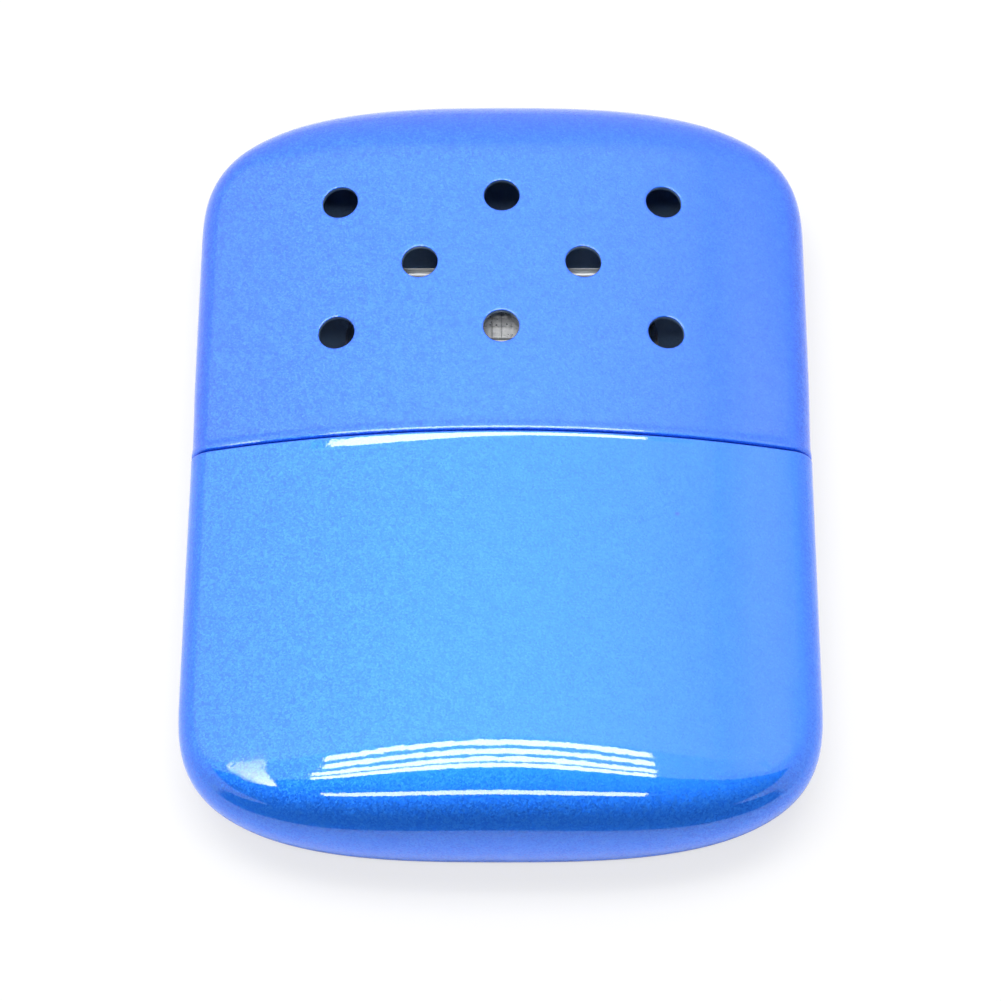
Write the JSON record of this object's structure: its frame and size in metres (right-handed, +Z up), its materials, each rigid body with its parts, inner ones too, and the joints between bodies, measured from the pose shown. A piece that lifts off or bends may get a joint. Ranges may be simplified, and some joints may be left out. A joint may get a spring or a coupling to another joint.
{
  "type": "catalytic hand warmer",
  "caption": "Flat pocket-size catalytic hand warmer: a cotton-filled fuel tank, a push-on burner with screened glass-fibre catalyst, and a vented slip-over cap in blue metallic paint.",
  "frame": {"origin": "middle of the footprint of the closed warmer lying on its back, on the surface that it rests on", "axes": "+X across the warmer, +Y along it towards the cap's end, +Z up through the front face"},
  "size_m": [0.058, 0.078, 0.013],
  "materials": {
    "tank_paint": "metallic blue paint with fine flake under a gloss clear coat",
    "cap_paint": "metallic blue paint with fine flake under a satin clear coat",
    "neck_plating": "bright plating over drawn sheet",
    "burner_metal": "satin stamped sheet, straw tint where it runs hot",
    "wire_mesh": "dull woven wire",
    "spring_steel": "bright spring strip",
    "rivet_metal": "satin",
    "glass_fibre": "white glass fibre with grey metal specks",
    "wick_felt": "dense felt",
    "cotton": "loose cotton"
  },
  "bodies": {
    "tank": {"tank_shell": "tank_paint", "neck_collar": "neck_plating", "deck_plate": "neck_plating", "mouth_ferrule": "neck_plating", "mouth_gauze": "wire_mesh", "wick_pad": "wick_felt", "cotton_fill": "cotton"},
    "burner": {"burner_skirt": "burner_metal", "burner_base": "burner_metal", "burner_band": "burner_metal", "burner_frame_front": "burner_metal", "burner_frame_back": "burner_metal", "screen_front": "wire_mesh", "screen_back": "wire_mesh", "catalyst_fibre_front": "glass_fibre", "catalyst_fibre_back": "glass_fibre", "fibre_spacer": "wire_mesh", "side_spring_left": "spring_steel", "side_spring_right": "spring_steel", "spring_rivets": "rivet_metal"},
    "cap": {"cap_shell": "cap_paint"}
  },
  "joints": [
    {"name": "cap_lift", "type": "slide", "parent": "tank", "child": "cap", "axis": [0, 1, 0], "range_m": [0, 0.045]},
    {"name": "burner_lift", "type": "slide", "parent": "tank", "child": "burner", "axis": [0, 1, 0], "range_m": [0, 0.014]}
  ]
}
